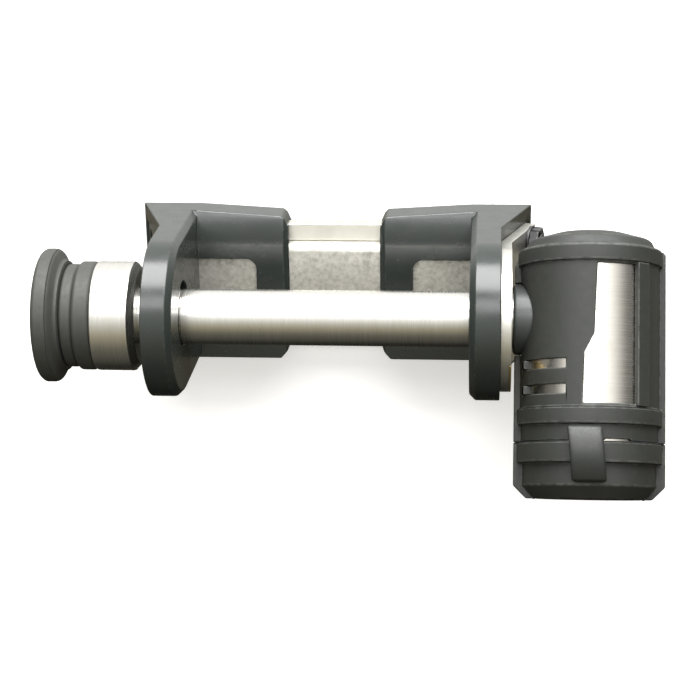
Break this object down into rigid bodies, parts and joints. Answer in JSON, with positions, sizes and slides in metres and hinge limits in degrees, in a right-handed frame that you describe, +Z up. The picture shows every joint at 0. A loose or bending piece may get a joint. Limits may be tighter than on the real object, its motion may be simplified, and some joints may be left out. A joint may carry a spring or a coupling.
{
  "type": "trailer coupler lock",
  "caption": "Trailer coupler lock: stainless pin through two painted ears on a sliding spine, with a rubber-jacketed swivel lock head and weather cap.",
  "frame": {"origin": "pin axis, midway between the two ears", "axes": "+X along the pin towards the lock head, +Z up out of the open throat, the brackets' backs lie flat below, +Y across the ears"},
  "size_m": [0.1773, 0.0794, 0.0787],
  "materials": {
    "bracket_paint": "satin dark grey-green paint on cast steel",
    "stainless": "brushed stainless steel",
    "plated_steel": "mottled zinc plating, tumbled",
    "black_steel": "black oxide steel",
    "brass": "plain machined brass",
    "black_rubber": "matte moulded rubber",
    "black_nylon": "smooth black nylon",
    "jacket_vinyl": "soft moulded vinyl, slight sheen"
  },
  "bodies": {
    "spine": {"spine_face_plate": "plated_steel", "spine_rail": "stainless", "spine_rivets": "plated_steel"},
    "left_bracket": {"left_bracket": "bracket_paint", "left_set_screws": "black_steel"},
    "right_bracket": {"right_bracket": "bracket_paint", "guard_plate": "stainless", "brass_wear_plate": "brass", "guard_studs": "black_steel", "guard_washers": "black_steel", "guard_nuts": "black_steel"},
    "lock_pin": {"lock_pin": "stainless", "pin_collar": "stainless", "bumper_seal": "black_rubber", "bumper_ring": "black_rubber", "bumper_cap": "black_rubber"},
    "swivel_bush": {"swivel_bush": "black_nylon"},
    "lock_head": {"lock_shell": "stainless", "jacket_front": "jacket_vinyl", "jacket_rear": "jacket_vinyl", "cylinder_case": "brass", "case_dowel": "plated_steel", "bolt_spring": "plated_steel"},
    "key_plug": {"key_plug": "brass", "plug_wafers": "brass", "plug_clip": "plated_steel"},
    "latch_bolt": {"latch_bolt": "plated_steel"},
    "weather_cap": {"weather_cap": "jacket_vinyl", "cap_strap": "black_rubber"}
  },
  "joints": [
    {"name": "left_bracket_slide", "type": "slide", "parent": "spine", "child": "left_bracket", "axis": [1, 0, 0], "range_m": [0, 0.008]},
    {"name": "right_bracket_slide", "type": "slide", "parent": "spine", "child": "right_bracket", "axis": [-1, 0, 0], "range_m": [0, 0.008]},
    {"name": "pin_pull", "type": "slide", "parent": "spine", "child": "lock_pin", "axis": [-1, 0, 0], "range_m": [0, 0.23]},
    {"name": "head_pull_off", "type": "slide", "parent": "spine", "child": "swivel_bush", "axis": [1, 0, 0], "range_m": [0, 0.04]},
    {"name": "head_swivel", "type": "hinge", "parent": "swivel_bush", "child": "lock_head", "pos_m": [0.0747, 0, 0], "axis": [1, 0, 0], "range_deg": [-165, 35]},
    {"name": "cap_open", "type": "hinge", "parent": "lock_head", "child": "weather_cap", "pos_m": [0.0747, -0.01848, 0.03135], "axis": [-1, 0, 0], "range_deg": [0, 110]},
    {"name": "key_turn", "type": "hinge", "parent": "lock_head", "child": "key_plug", "pos_m": [0.0747, 0, 0], "axis": [0, 0.9063, -0.4226], "range_deg": [0, 90]},
    {"name": "bolt_throw", "type": "slide", "parent": "lock_head", "child": "latch_bolt", "axis": [0, 0.9063, -0.4226], "range_m": [0, 0.0018]}
  ],
  "couplings": [
    {"joint": "bolt_throw", "follows": "key_turn", "m_per_rad": 0.0010186}
  ]
}
